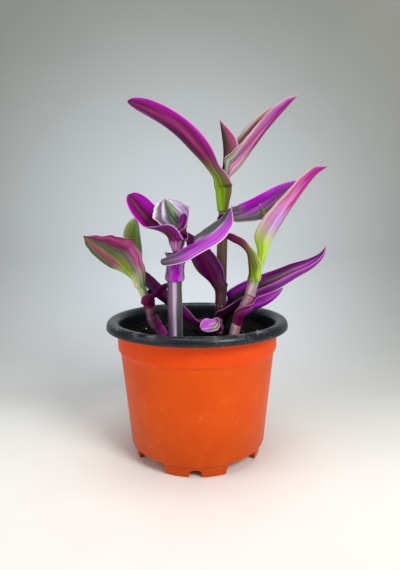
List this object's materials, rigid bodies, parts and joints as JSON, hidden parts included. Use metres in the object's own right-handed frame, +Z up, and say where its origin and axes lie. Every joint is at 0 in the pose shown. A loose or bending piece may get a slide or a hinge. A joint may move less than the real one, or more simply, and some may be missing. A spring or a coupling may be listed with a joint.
{
  "type": "potted tradescantia",
  "caption": "Young trailing houseplant with pointed purple, pink and green leaves on jointed upright stems, in a round two-colour nursery pot filled with soil.",
  "frame": {"origin": "on the floor, under the middle of the plant's outline seen from above", "axes": "+Z up along the pot, -Y towards the front of the pot, +X to the viewer's right"},
  "size_m": [0.1544, 0.12, 0.2358],
  "materials": {
    "pot_orange": "satin, thin moulded",
    "pot_black": "satin, a little scuffed",
    "soil": "loose, matte",
    "brown_stem": "smooth green stem, satin",
    "grey_stem": "smooth green stem, satin",
    "pink_stem": "smooth green stem, satin",
    "dark_purple_leaf": "waxy leaf, satin",
    "magenta_leaf": "waxy leaf, satin",
    "pink_leaf": "waxy leaf, satin",
    "striped_leaf": "waxy leaf, satin",
    "green_leaf": "waxy leaf, satin"
  },
  "bodies": {
    "root": {"pot_outer_skin": "pot_orange", "pot_inner_skin_and_rim": "pot_black", "soil": "soil", "tall_stem": "brown_stem", "front_stem": "grey_stem", "right_stem": "pink_stem", "left_stem": "pink_stem", "sprout_stem": "pink_stem", "tall_leaf_1": "magenta_leaf", "tall_leaf_2": "dark_purple_leaf", "tall_leaf_3": "magenta_leaf", "tall_leaf_4": "magenta_leaf", "tall_leaf_5": "pink_leaf", "tall_leaf_6": "striped_leaf", "front_leaf_1": "magenta_leaf", "front_leaf_2": "magenta_leaf", "front_leaf_3": "pink_leaf", "front_leaf_4": "magenta_leaf", "right_leaf_1": "magenta_leaf", "right_leaf_2": "striped_leaf", "right_leaf_3": "pink_leaf", "right_leaf_4": "green_leaf", "left_leaf_1": "dark_purple_leaf", "left_leaf_2": "striped_leaf", "left_leaf_3": "green_leaf", "low_leaf": "dark_purple_leaf", "sprout_leaf": "pink_leaf"}
  },
  "joints": []
}
